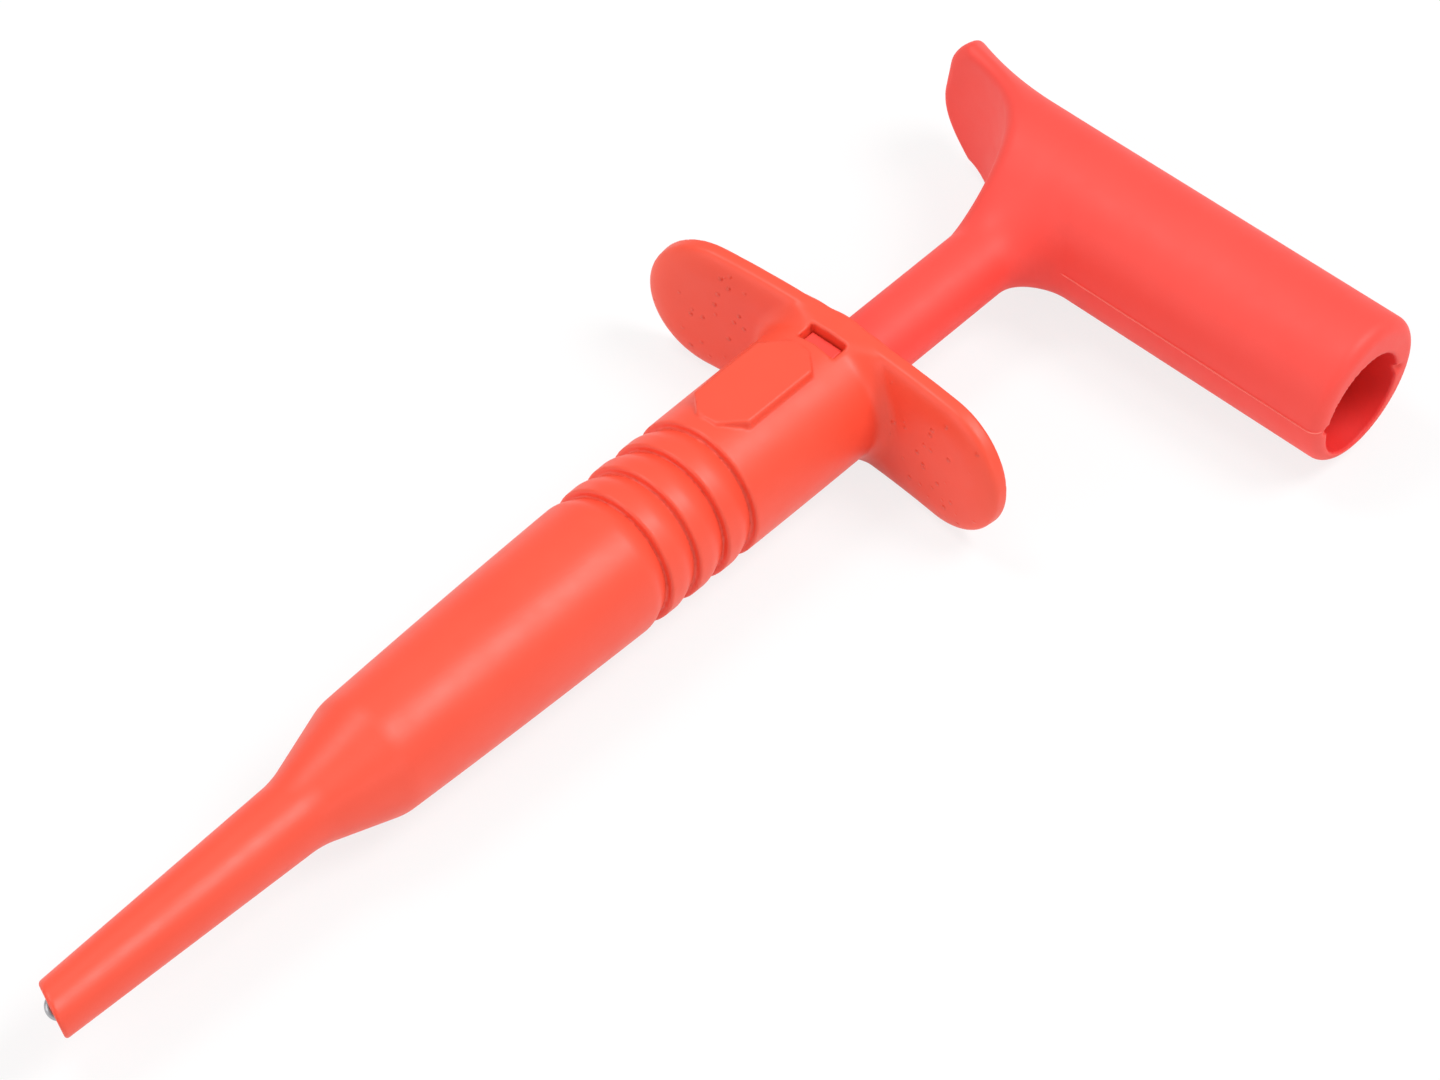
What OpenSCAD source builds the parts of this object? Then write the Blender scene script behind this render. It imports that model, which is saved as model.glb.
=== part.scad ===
// Plunger test hook with a shrouded 4 mm socket in its T handle.
// The barrel axis runs along X. The hook leaves the nose towards +X, the socket mouth
// faces +Y and the oval thumb pad is on top, towards +Z. Sizes are in millimetres.

/* [Barrel] */
// Length from the rear face of the finger flange to the nose tip
barrel_length = 79.4; // [76:0.1:90]
// Radius of the barrel at the flange
barrel_r = 5.5; // [5.2:0.05:6.5]
// Length of the straight rear stretch
straight_length = 5.4; // [4:0.1:12]
// Radius of the barrel where the shoulder cone starts
shoulder_r = 4.6; // [4.3:0.05:5]
// Distance from the flange to the shoulder cone
shoulder_x = 49.3; // [48:0.1:52]
// Length of the shoulder cone
shoulder_length = 6.4; // [4:0.1:9]
// Radius of the nose at the foot of the shoulder cone
nose_base_r = 2.7; // [2.4:0.05:3.2]
// Radius of the nose at its tip
nose_tip_r = 1.95; // [1.8:0.05:2.3]
// Slant of the nose's end face
tip_slant = 28; // [0:1:32]
// Turn of the slant about the barrel axis, from +Y towards +Z
tip_turn = 34; // [-90:1:90]

/* [Grip rings] */
// Number of grooves
groove_count = 4; // [1:1:5]
// Distance from the flange to the steep wall of the first groove
groove_start = 15.65; // [15.5:0.05:17]
// Pitch of the grooves
groove_pitch = 2.9; // [2:0.05:3.2]
// Length of a groove's slope from the wall up to the barrel
groove_length = 1.5; // [0.8:0.05:1.7]
// Depth of a groove at its wall
groove_depth = 0.6; // [0.15:0.05:0.75]

/* [Pad and latch window] */
// Length of the oval pad
pad_length = 9.9; // [8:0.1:10.3]
// Width of the oval pad
pad_width = 5; // [4:0.1:6.5]
// Gap between the latch window and the pad
pad_gap = 0.8; // [0.3:0.1:1]
// Chamfer of the pad's four corners
pad_corner = 1.6; // [0.6:0.1:1.8]
// Height of the pad above the barrel's crest
pad_rise = 0.1; // [0:0.05:0.4]
// Turn of the pad about the barrel axis, away from the socket's mouth
pad_turn = 8; // [0:1:12]
// Distance from the flange's rear face to the window
window_x = 2; // [1.6:0.1:2.2]
// Length of the window along the barrel
window_length = 1.6; // [1.2:0.1:2]
// Width of the window
window_width = 3.2; // [2.8:0.1:3.6]

/* [Finger flange] */
// Span of the two wings
flange_span = 32.2; // [28:0.2:36]
// Height of the wings
flange_height = 10.9; // [10:0.1:10.9]
// Thickness of the wings
flange_t = 1.8; // [1.6:0.1:2.4]
// Rounding of the wings' front edge
flange_round = 0.9; // [0.4:0.1:1.2]
// Radius of the wings' forward bow
flange_bow_r = 90; // [70:1:150]
// Fillet between the wings and the barrel
hub_fillet = 1.3; // [0.8:0.1:2.5]
// Height of the hub's rear face behind the wings
hub_back = 0.2; // [0.1:0.1:0.5]

/* [Plunger] */
// Radius of the stem
stem_r = 2.7; // [2.5:0.05:2.9]
// Length of the stem inside the barrel at rest
stem_inside = 20; // [18:0.5:24]
// Travel of the plunger
stroke = 10.5; // [8:0.1:10.5]
// Radial clearance between the stem and its bore
stem_clearance = 0.15; // [0.1:0.05:0.2]
// Width of the latch tab
latch_width = 2.7; // [1.6:0.1:2.7]
// Length of the latch tab
latch_length = 2; // [1.6:0.1:2.2]
// Length of the latch tab's flat top
latch_flat = 1.45; // [0.8:0.05:1.5]
// Height of the latch tab above the stem's axis
latch_top = 4.7; // [3.9:0.05:4.75]
// Gap round the latch tab in its keyway
latch_gap = 0.15; // [0.1:0.05:0.2]

/* [T handle] */
// Distance from the flange's rear face back to the socket's axis
bar_back = 23.43; // [22:0.01:27]
// Distance from the barrel axis to the socket's mouth
mouth_y = 28.46; // [27:0.01:32]
// Outer radius of the socket tube at the stem
bar_r = 5.76; // [5.6:0.02:6.2]
// Outer radius of the socket tube at its mouth
mouth_r = 5.87; // [5.7:0.01:6.4]
// Rearward offset of the tube's outside from the bore
bar_offset_back = 0.33; // [0:0.01:0.6]
// Upward offset of the tube's outside from the bore
bar_offset_up = 0.75; // [0:0.01:0.9]
// Rounding of the tube's mouth
mouth_round = 1; // [0.4:0.1:1.2]
// Fillet between the stem and the socket tube
socket_fillet = 3.2; // [2:0.1:4.5]
// Fillet between the stem and the thumb paddle
paddle_fillet = 3.8; // [1.5:0.1:4.5]
// Fillet above and below the stem
side_fillet = 2.5; // [1:0.1:3]

/* [Thumb paddle] */
// Distance from the barrel axis to the rear edge of the paddle's end
paddle_reach = 11.8; // [11:0.1:15]
// Lean of the paddle's end, whose front edge reaches further out
paddle_lean = 15; // [0:1:20]
// Height of the paddle
paddle_height = 10.7; // [9:0.1:11.5]
// Upper corner radius of the paddle's end
paddle_corner_top = 2.8; // [1.5:0.1:4]
// Lower corner radius of the paddle's end
paddle_corner_low = 5.2; // [2:0.1:5.5]
// Distance from the barrel axis at which the paddle starts to sweep back
paddle_start = 3.8; // [3:0.1:5]
// Radius of the backward sweep
paddle_sweep_r = 28; // [25:1:60]
// Radius of the paddle's hollow front face
paddle_hollow_r = 9; // [8:0.1:12]
// Distance from the hollow's centre to the socket's axis, forwards
hollow_forward = 5.53; // [5:0.01:7]
// Distance from the hollow's centre to the barrel axis
hollow_side = 11.8; // [11:0.05:14]

/* [Socket] */
// Radius of the shroud's bore
shroud_r = 4.1; // [4.05:0.01:4.3]
// Depth of the shroud
shroud_depth = 21.3; // [20:0.1:22]
// Bore radius of the contact
contact_bore_r = 2.02; // [2:0.01:2.05]
// Depth of the contact's bore
contact_bore_depth = 18; // [15:0.1:18.5]
// Outer radius of the contact
contact_r = 2.7; // [2.5:0.05:2.8]
// Recess of the contact behind the mouth
contact_recess = 4.5; // [3:0.1:6]
// Radius of the contact's press-in root
contact_root_r = 2.4; // [2.2:0.05:2.45]
// Reach of the root past the barrel axis
contact_root_reach = 1.6; // [1.2:0.1:2]

/* [Hook] */
// Diameter of the hook's wire
wire_d = 0.6; // [0.5:0.05:0.7]
// Width of the hook over both legs
hook_width = 1.9; // [1.7:0.05:1.95]
// Reach of the hook beyond the middle of the nose's end face at rest
hook_reach = 0.4; // [0.2:0.05:0.9]
// Length of the hook's return leg
hook_leg = 2.4; // [1.5:0.1:3]
// Turn of the hook's plane about the barrel axis
hook_turn = -35; // [-90:5:90]
// Length of the oblique stretch that sets the hook on the axis
joggle_length = 2.2; // [1.5:0.1:3]
// Radius of the hook's passage in the nose
nose_bore_r = 1.1; // [1.05:0.05:1.2]
// Outer radius of the insulating sleeve on the shank
sleeve_r = 0.65; // [0.55:0.05:0.8]
// Bare length between the sleeve and the hook's front
sleeve_setback = 8; // [7:0.5:12]

/* [Spring] */
// Wire diameter of the return spring
spring_wire = 0.45; // [0.35:0.05:0.55]
// Outer radius of the return spring
spring_r = 2.45; // [2.3:0.05:2.5]
// Number of turns
spring_turns = 15.5; // [10:0.5:20]
// Thickness of the washer under the spring
washer_t = 0.4; // [0.3:0.05:0.6]
// Depth of the spring chamber from the flange's rear face
chamber_depth = 46.8; // [45:0.1:47]
// Radius of the ferrule's head inside the spring
ferrule_head_r = 1.7; // [1.5:0.05:1.75]
// Length of the ferrule's head
ferrule_head_length = 2.2; // [1.5:0.1:3]
// Radius of the ferrule's shank in the stem
ferrule_r = 1.2; // [1:0.05:1.4]
// Depth of the ferrule's shank in the stem
ferrule_depth = 5; // [3:0.1:6]

/* [Hidden] */
$fn = 64;

// Overshoot of cuts past the faces they open
over = 0.5;
// Clearance of pieces that seat in each other and move together
seat_gap = 0.02;
// Rise of the beads at the two small bends of the wire
bead_rise = 0.04;
// Points along a rounded stretch of an outline
curve_steps = 8;
// Sides of the spring's wire and rings in one of its turns
wire_sides = 8;
turn_rings = 16;
// Pitch of the spring's closed end turns, in wire diameters
closed_pitch = 1.2;
// Sides and rings of the stem's lofted foot
foot_sides = 24;
foot_rings = 12;
// Depth by which the foot's thin end starts under the stem's skin
foot_sink = 0.06;
plastic_red = [1, 0.39, 0.31];
handle_red = [1, 0.36, 0.33];
steel_grey = [0.75, 0.76, 0.78];
brass_yellow = [0.85, 0.7, 0.4];
sleeve_red = [0.8, 0.2, 0.18];

// Barrel
nose_x = shoulder_x + shoulder_length;
nose_fall = (nose_base_r - nose_tip_r) / (barrel_length - nose_x);
flange_half = flange_height / 2;
wing_turn = asin(flange_span / 2 / norm([flange_bow_r, flange_half])) - atan(flange_half / flange_bow_r);
pad_x = window_x + window_length + pad_gap;
pad_top = barrel_r + pad_rise;
stem_bore_r = stem_r + stem_clearance;
tip_cut_x = barrel_length - nose_tip_r * tan(tip_slant);

// Plunger
bar_x = -bar_back;
bar_outer_x = bar_x - bar_offset_back;
bar_front = bar_outer_x + bar_r;
latch_x = window_x + latch_gap;
keyway_length = latch_length + stroke + 2 * latch_gap;
keyway_top = latch_top + latch_gap;
keyway_half = latch_width / 2 + latch_gap;
shroud_floor = mouth_y - shroud_depth;
paddle_back_r = paddle_sweep_r - bar_r;
paddle_turn = asin((paddle_reach - paddle_start) / paddle_back_r);
paddle_rear_x = bar_outer_x - paddle_sweep_r + paddle_back_r * cos(paddle_turn);

// Hook, sleeve and spring
wire_r = wire_d / 2;
hook_bend_r = hook_width / 2 - wire_r;
hook_front = tip_cut_x + hook_reach;
hook_bend_x = hook_front - hook_bend_r - wire_r;
joggle_end = hook_bend_x - hook_leg;
joggle_x = joggle_end - joggle_length;
sleeve_end = hook_front - sleeve_setback;
ferrule_front = stem_inside + ferrule_head_length;
wire_rear = bar_x - contact_root_r / 2;
spring_front = chamber_depth - washer_t - seat_gap;
spring_rear = stem_inside + seat_gap;

// The row's origin lies under the middle of the object, on the surface that it rests on.
x_low = min(bar_outer_x - mouth_r, paddle_rear_x);
x_high = max(barrel_length, hook_front);
y_low = -max(flange_span / 2, paddle_reach);
z_low = -max(barrel_r, flange_half, mouth_r - bar_offset_up);
frame_shift = [-(x_high + x_low) / 2, -(mouth_y + y_low) / 2, -z_low];

// Barrel radius along the belly, which tapers as a shallow parabola to the shoulder
function belly_r(x) =
    x <= straight_length ? barrel_r :
    barrel_r - (barrel_r - shoulder_r)
        * pow((x - straight_length) / (shoulder_x - straight_length), 2);

function groove_x(i) = groove_start + i * groove_pitch;

// Half of the barrel's outline from the hub past the tip, as [radius, x] points
function barrel_outline() = concat(
    [[0, -hub_back], [barrel_r, -hub_back]],
    [for (i = [0 : curve_steps])
        let (x = straight_length + i * (shoulder_x - straight_length) / curve_steps)
        [belly_r(x), x]],
    [[nose_base_r, nose_x]],
    [[nose_tip_r - over * nose_fall, barrel_length + over], [0, barrel_length + over]]
);

// Turns a shape made along Z so that it lies along X
module along_x() {
    rotate([0, 90, 0])
        children();
}

// Turns a shape made along Z so that it lies along Y
module along_y() {
    rotate([-90, 0, 0])
        children();
}

module placed() {
    translate(frame_shift)
        children();
}

module rod_x(x0, x1, r) {
    translate([x0, 0, 0])
        along_x()
            cylinder(h = x1 - x0, r = r);
}

module rod_y(y0, y1, r) {
    translate([0, y0, 0])
        along_y()
            cylinder(h = y1 - y0, r = r);
}

// Ring-shaped cutter for one grip groove: a steep rear wall and a slope back up to the barrel
module groove_cutter(x) {
    wall = groove_depth + over;
    translate([x, 0, 0])
        along_x()
            rotate_extrude()
                translate([belly_r(x) - groove_depth, 0])
                    polygon([[0, 0], [wall, 0], [wall, wall * groove_length / groove_depth]]);
}

// Half-section of a wing: a plate whose front edge is rounded, from its middle outwards
module wing_section(half) {
    square([half - flange_round, flange_t]);
    square([half, flange_t - flange_round]);
    translate([half - flange_round, flange_t - flange_round])
        circle(r = flange_round);
}

// A plate bowed forwards about an axis ahead of it, with half-round ends
module finger_flange() {
    for (turn = [0, 180])
        rotate([turn, 0, 0])
            translate([flange_bow_r, 0, 0])
                rotate([0, 0, 180 - wing_turn]) {
                    rotate_extrude(angle = wing_turn)
                        translate([flange_bow_r, 0])
                            for (flip = [0, 1])
                                mirror([0, flip])
                                    rotate(90)
                                        wing_section(flange_half);
                    translate([flange_bow_r, 0, 0])
                        rotate([0, -90, 0])
                            rotate_extrude(angle = -180)
                                wing_section(flange_half);
                }
    intersection() {
        along_x()
            rotate_extrude()
                difference() {
                    square([barrel_r + hub_fillet, flange_t + hub_fillet]);
                    translate([barrel_r + hub_fillet, flange_t + hub_fillet])
                        circle(r = hub_fillet);
                }
        translate([0, -flange_span / 2, -flange_half])
            cube([flange_t + 2 * hub_fillet, flange_span, flange_height]);
    }
}

module oval_pad() {
    half = pad_width / 2;
    end_half = half - pad_corner;
    rotate([pad_turn, 0, 0])
        translate([pad_x, 0, 0])
            linear_extrude(pad_top)
                polygon([
                    [0, -end_half], [pad_corner, -half],
                    [pad_length - pad_corner, -half], [pad_length, -end_half],
                    [pad_length, end_half], [pad_length - pad_corner, half],
                    [pad_corner, half], [0, end_half]
                ]);
}

// Bore, keyway, latch window and nose passage
module barrel_hollows() {
    rod_x(-hub_back - over, chamber_depth, stem_bore_r);
    rod_x(chamber_depth - over, barrel_length + 2 * over, nose_bore_r);
    translate([window_x, -keyway_half, 0])
        cube([keyway_length, 2 * keyway_half, keyway_top]);
    translate([window_x, -window_width / 2, keyway_top - latch_gap])
        cube([window_length, window_width, barrel_r]);
}

// The end face leans, so that the hook stands free of it on the low side
module slanted_tip_cutter() {
    rotate([tip_turn, 0, 0])
        translate([tip_cut_x, 0, 0])
            rotate([0, 0, -tip_slant])
                translate([0, -barrel_r, -barrel_r])
                    cube(2 * barrel_r);
}

module barrel() {
    color(plastic_red)
        placed()
            difference() {
                union() {
                    along_x()
                        rotate_extrude()
                            polygon(barrel_outline());
                    finger_flange();
                    oval_pad();
                }
                barrel_hollows();
                for (i = [0 : groove_count - 1])
                    groove_cutter(groove_x(i));
                slanted_tip_cutter();
            }
}

// Outside of the socket tube, from the start of the paddle to its rounded mouth
module socket_tube() {
    translate([bar_outer_x, 0, bar_offset_up])
        along_y()
            rotate_extrude() {
                polygon([
                    [0, -paddle_start], [bar_r, -paddle_start], [bar_r, 0],
                    [mouth_r, mouth_y - mouth_round], [0, mouth_y - mouth_round]
                ]);
                square([mouth_r - mouth_round, mouth_y]);
                translate([mouth_r - mouth_round, mouth_y - mouth_round])
                    circle(r = mouth_round);
            }
}

// Outline of the paddle seen from the front, tapered from the tube to its two rounded corners
module paddle_front_view() {
    half = paddle_height / 2;
    difference() {
        polygon([
            [0, -bar_r], [0, bar_r], [-paddle_start, bar_r],
            [-paddle_reach, half], [-paddle_reach, -half], [-paddle_start, -bar_r]
        ]);
        translate([-paddle_reach, -half])
            corner_waste(paddle_corner_low);
        translate([-paddle_reach, half])
            mirror([0, 1])
                corner_waste(paddle_corner_top);
    }
}

// What a rounding of radius r takes off a square corner at the origin
module corner_waste(r) {
    difference() {
        translate([-over, -over])
            square(r + over);
        translate([r, r])
            circle(r = r);
        translate([r, r])
            square(r);
    }
}

// The tube's outside carried on to the other side and swept back, past the end that its outline cuts
module thumb_paddle() {
    intersection() {
        translate([bar_outer_x - paddle_sweep_r, -paddle_start, bar_offset_up])
            rotate_extrude(angle = -2 * paddle_turn)
                translate([paddle_sweep_r, 0])
                    circle(r = bar_r);
        translate([paddle_rear_x, -paddle_reach, bar_offset_up])
            rotate([0, 0, -paddle_lean])
                translate([-over, paddle_reach, 0])
                    rotate([90, 0, 90])
                        linear_extrude(-x_low)
                            paddle_front_view();
    }
}

// Round hollow for the thumb in the paddle's front face
module thumb_hollow() {
    translate([bar_x + hollow_forward, -hollow_side, bar_offset_up - 2 * bar_r])
        cylinder(h = 4 * bar_r, r = paddle_hollow_r);
}

// Half-width of the stem's foot at x where it runs into the bar's flat front
function flare_to_flat(x, fillet) =
    let (run = min(fillet, max(0, bar_front + fillet - x)))
    stem_r - foot_sink + fillet - sqrt(pow(fillet, 2) - pow(run, 2));

// Half-width of the stem's foot at x where it runs into a round of the bar's radius,
// whose centre lies rise beside the stem's axis
function flare_to_round(x, fillet, rise) =
    let (side = stem_r + fillet - rise)
    let (reach = sqrt(pow(bar_r + fillet, 2) - pow(side, 2)))
    let (run = min(fillet * reach / (bar_r + fillet), max(0, bar_outer_x + reach - x)))
    stem_r - foot_sink + fillet - sqrt(pow(fillet, 2) - pow(run, 2));

// One ring of the stem's foot: quarter ellipses with their own reach on each side
function foot_ring(x) =
    let (right = flare_to_flat(x, socket_fillet))
    let (left = flare_to_round(x, paddle_fillet, 0))
    let (top = flare_to_round(x, side_fillet, bar_offset_up))
    let (low = flare_to_round(x, side_fillet, -bar_offset_up))
    [for (k = [0 : foot_sides - 1])
        let (a = 360 * (k + 0.5) / foot_sides)
        [x, cos(a) * (cos(a) > 0 ? right : left), sin(a) * (sin(a) > 0 ? top : low)]];

// Skin over a list of rings that all have the same number of points
module skin(rings) {
    n = len(rings[0]);
    last = len(rings) - 1;
    sides = [for (i = [0 : last - 1], k = [0 : n - 1])
        let (a = i * n + k)
        let (b = i * n + (k + 1) % n)
        [a, b, b + n, a + n]];
    first_cap = [for (k = [n - 1 : -1 : 0]) k];
    last_cap = [for (k = [0 : n - 1]) last * n + k];
    polyhedron([for (ring = rings) each ring], concat(sides, [first_cap, last_cap]));
}

// The flared foot of the stem, lofted into the bar
module stem_foot() {
    start = bar_front + max(socket_fillet, paddle_fillet, side_fillet);
    step = (start - bar_x) / foot_rings;
    skin([for (i = [0 : foot_rings]) foot_ring(start - i * step)]);
}

// Tab on the stem that stops the plunger at the window; its front leans for assembly
module latch_tab() {
    translate([latch_x, latch_width / 2, 0])
        rotate([90, 0, 0])
            linear_extrude(latch_width)
                polygon([
                    [0, 0], [latch_length, 0],
                    [latch_length, stem_r], [latch_flat, latch_top], [0, latch_top]
                ]);
}

module plunger_hollows() {
    rod_x(bar_x, stem_inside + over, wire_r + seat_gap);
    rod_x(stem_inside - ferrule_depth, stem_inside + over, ferrule_r + seat_gap);
    translate([bar_x, 0, 0]) {
        rod_y(shroud_floor, mouth_y + over, shroud_r);
        rod_y(-contact_root_reach, mouth_y, contact_root_r + seat_gap);
    }
}

module plunger_handle() {
    color(handle_red)
        placed()
            difference() {
                union() {
                    rod_x(bar_x, stem_inside, stem_r);
                    latch_tab();
                    stem_foot();
                    socket_tube();
                    thumb_paddle();
                }
                plunger_hollows();
                thumb_hollow();
            }
}

// One bend of the wire, in the XY plane, starting at the origin along +X
module wire_bend(bend_r, angle) {
    translate([0, bend_r, 0])
        rotate([0, 0, -90])
            rotate_extrude(angle = angle)
                translate([bend_r, 0])
                    circle(r = wire_r);
}

// Bead round a small bend of the wire
module wire_bead() {
    along_x()
        sphere(r = wire_r + bead_rise);
}

module hook_wire() {
    color(steel_grey)
        placed()
            rotate([hook_turn, 0, 0]) {
                rod_x(wire_rear, joggle_x, wire_r);
                translate([joggle_x, 0, 0]) {
                    wire_bead();
                    rotate([0, 0, -atan(hook_bend_r / joggle_length)])
                        rod_x(0, norm([hook_bend_r, joggle_length]), wire_r);
                }
                translate([0, -hook_bend_r, 0]) {
                    translate([joggle_end, 0, 0])
                        wire_bead();
                    rod_x(joggle_end, hook_bend_x, wire_r);
                    translate([hook_bend_x, 0, 0])
                        wire_bend(hook_bend_r, 180);
                }
                translate([0, hook_bend_r, 0])
                    rod_x(hook_bend_x - hook_leg, hook_bend_x, wire_r);
            }
}

module shank_sleeve() {
    color(sleeve_red)
        placed()
            difference() {
                rod_x(ferrule_front, sleeve_end, sleeve_r);
                rod_x(ferrule_front - over, sleeve_end + over, wire_r + seat_gap);
            }
}

module hook_ferrule() {
    color(brass_yellow)
        placed()
            difference() {
                union() {
                    rod_x(stem_inside - ferrule_depth, stem_inside, ferrule_r);
                    rod_x(stem_inside, ferrule_front, ferrule_head_r);
                }
                rod_x(0, ferrule_front + over, wire_r + seat_gap);
            }
}

// Distance of the wire from the spring's rear end after a number of turns; the end turns are closed
function coil_rise(turns, length) =
    let (closed = closed_pitch * spring_wire)
    turns < 1 ? closed * turns :
    turns > spring_turns - 1 ? length - closed * (spring_turns - turns) :
    closed + (length - 2 * closed) * (turns - 1) / (spring_turns - 2);

// Ring of points round the spring's wire after a number of turns
function spring_ring(turns, mid_r, length) =
    let (x = spring_rear + spring_wire / 2 + coil_rise(turns, length))
    [for (k = [0 : wire_sides - 1])
        let (a = 360 * k / wire_sides)
        let (r = mid_r + spring_wire / 2 * cos(a))
        [x + spring_wire / 2 * sin(a), r * cos(360 * turns), r * sin(360 * turns)]];

module return_spring() {
    mid_r = spring_r - spring_wire / 2;
    length = spring_front - spring_rear - spring_wire;
    color(steel_grey)
        placed()
            skin([for (i = [0 : spring_turns * turn_rings])
                spring_ring(i / turn_rings, mid_r, length)]);
}

module spring_washer() {
    color(steel_grey)
        placed()
            difference() {
                rod_x(chamber_depth - washer_t, chamber_depth, stem_r);
                rod_x(chamber_depth - over - washer_t, chamber_depth + over, nose_bore_r);
            }
}

module socket_contact() {
    front = mouth_y - contact_recess;
    lead_in = (contact_r - contact_bore_r) / 2;
    color(brass_yellow)
        placed()
            difference() {
                translate([bar_x, 0, 0])
                    difference() {
                        union() {
                            rod_y(-contact_root_reach, shroud_floor, contact_root_r);
                            rod_y(shroud_floor, front, contact_r);
                        }
                        rod_y(front - contact_bore_depth, front + over, contact_bore_r);
                        translate([0, front - lead_in, 0])
                            along_y()
                                cylinder(h = 2 * lead_in, r1 = contact_bore_r,
                                    r2 = contact_bore_r + 2 * lead_in);
                    }
                rod_x(wire_rear, 0, wire_r + seat_gap);
            }
}

barrel();
plunger_handle();
hook_wire();
shank_sleeve();
hook_ferrule();
return_spring();
spring_washer();
socket_contact();
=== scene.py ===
import math

import bpy
import numpy as np
from mathutils import Matrix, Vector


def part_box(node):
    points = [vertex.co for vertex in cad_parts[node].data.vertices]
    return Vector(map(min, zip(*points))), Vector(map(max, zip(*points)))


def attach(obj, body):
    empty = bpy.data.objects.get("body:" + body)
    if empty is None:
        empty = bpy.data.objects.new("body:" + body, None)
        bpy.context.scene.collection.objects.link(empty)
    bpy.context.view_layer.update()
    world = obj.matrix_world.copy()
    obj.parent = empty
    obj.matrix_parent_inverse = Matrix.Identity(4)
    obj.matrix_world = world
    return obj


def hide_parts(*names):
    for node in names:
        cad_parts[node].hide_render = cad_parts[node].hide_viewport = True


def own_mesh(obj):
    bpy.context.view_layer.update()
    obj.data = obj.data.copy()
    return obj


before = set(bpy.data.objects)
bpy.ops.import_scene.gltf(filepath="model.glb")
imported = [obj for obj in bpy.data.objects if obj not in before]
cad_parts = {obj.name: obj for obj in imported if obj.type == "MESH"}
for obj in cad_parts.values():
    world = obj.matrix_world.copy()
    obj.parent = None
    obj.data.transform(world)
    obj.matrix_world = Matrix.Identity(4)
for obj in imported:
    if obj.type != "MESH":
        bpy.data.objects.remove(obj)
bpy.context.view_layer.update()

# Sizes are in millimetres, in the barrel's own frame: X along the barrel from the flange's
# rear face towards the hook, Y towards the socket's mouth, Z up through the pad. MM turns
# them into metres.
MM = 0.001

# Barrel: turned body, nose and slanted tip
BARREL_LENGTH = 79.4
BARREL_R = 5.5
STRAIGHT_LENGTH = 5.4
SHOULDER_R = 4.6
SHOULDER_X = 49.3
SHOULDER_LENGTH = 6.4
SHOULDER_EDGE = 0.12
NOSE_X = SHOULDER_X + SHOULDER_LENGTH
NOSE_BASE_R = 2.7
NOSE_TIP_R = 1.95
NOSE_FILLET = 0.24
TIP_SLANT = math.radians(28)
TIP_TURN = math.radians(34)
TIP_EDGE = 0.25
TIP_CUT_X = BARREL_LENGTH - NOSE_TIP_R * math.tan(TIP_SLANT)

# Grip grooves
GROOVE_COUNT = 4
GROOVE_START = 15.65
GROOVE_PITCH = 2.9
GROOVE_LENGTH = 1.5
GROOVE_DEPTH = 0.6
GROOVE_EDGE = 0.15

# Pad
PAD_X = 4.4
PAD_LENGTH = 9.9
PAD_WIDTH = 5.0
PAD_CORNER = 1.6
PAD_TOP = 5.6
PAD_TURN = math.radians(8)
PAD_EDGE = 0.1

# Latch window, keyway and bores
WINDOW_X = 2.0
WINDOW_LENGTH = 1.6
WINDOW_WIDTH = 3.2
WINDOW_FLOOR = 4.7
KEYWAY_LENGTH = 12.8
KEYWAY_WIDTH = 3.0
KEYWAY_TOP = 4.85
STEM_BORE_R = 2.85
CHAMBER_DEPTH = 46.8
NOSE_BORE_R = 1.1
OPENING_EDGE = 0.08

# Finger flange: its front rim is rounded as an ellipse, wider than it is deep
FLANGE_SPAN = 32.2
FLANGE_HALF = 5.45
FLANGE_T = 1.8
FLANGE_ROUND = 0.9
FLANGE_ROUND_WIDE = 2.3
FLANGE_BOW_R = 90.0
HUB_FILLET = 1.3
HUB_BACK = 0.2
HUB_EDGE = 0.3
BACK_EDGE = 0.25
WING_TURN = (
    math.asin(FLANGE_SPAN / 2 / math.hypot(FLANGE_BOW_R, FLANGE_HALF))
    - math.atan(FLANGE_HALF / FLANGE_BOW_R)
)

# Specks on the flange: SPECK_SPARSE is the share of places left bare, and SPECK_FACING says
# how squarely a face has to look forwards to have any
SPECK_SPACING = 0.9
SPECK_R = 0.22
SPECK_RISE = 0.14
SPECK_SPARSE = 0.5
SPECK_FACING = 0.9

# Stem and latch tab
STEM_R = 2.7
STEM_INSIDE = 20.0
STEM_EDGE = 0.3
STEM_FILLET = 3.3
LATCH_X = 2.15
LATCH_LENGTH = 2.0
LATCH_FLAT = 1.45
LATCH_WIDTH = 2.7
LATCH_TOP = 4.7
LATCH_EDGE = 0.1

# Socket tube, with two nicks in its mouth's rim. Its bore has painted shade, a deeper red
# standing in for the shade inside it, which reaches SHROUD_SHADE_UNDER below its floor.
BAR_X = -23.43
BAR_OUTER_X = -23.76
BAR_UP = 0.75
BAR_R = 5.76
MOUTH_R = 5.86
MOUTH_Y = 28.46
MOUTH_ROUND = 1.0
SHROUD_R = 4.1
SHROUD_FLOOR = 7.16
SHROUD_EDGE = 0.15
SHROUD_SHADE_UNDER = 1.0
NICK_R = 0.4
NICK_OUT = 0.15
NICK_UP = 0.4

# The mould's parting line on the tube: FLASH_LEAST is the lowest share of its rise, and
# FLASH_FADE the power by which the rise dies away at both ends
FLASH_START = 3.0
FLASH_BEND = math.radians(70)
FLASH_WIDTH = 0.16
FLASH_RISE = 0.14
FLASH_CREST = 0.02
FLASH_FOOT = 0.03
FLASH_SUNK = 0.03
FLASH_LEAST = 0.5
FLASH_FADE = 0.3
FLASH_SEED = 5

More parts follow.
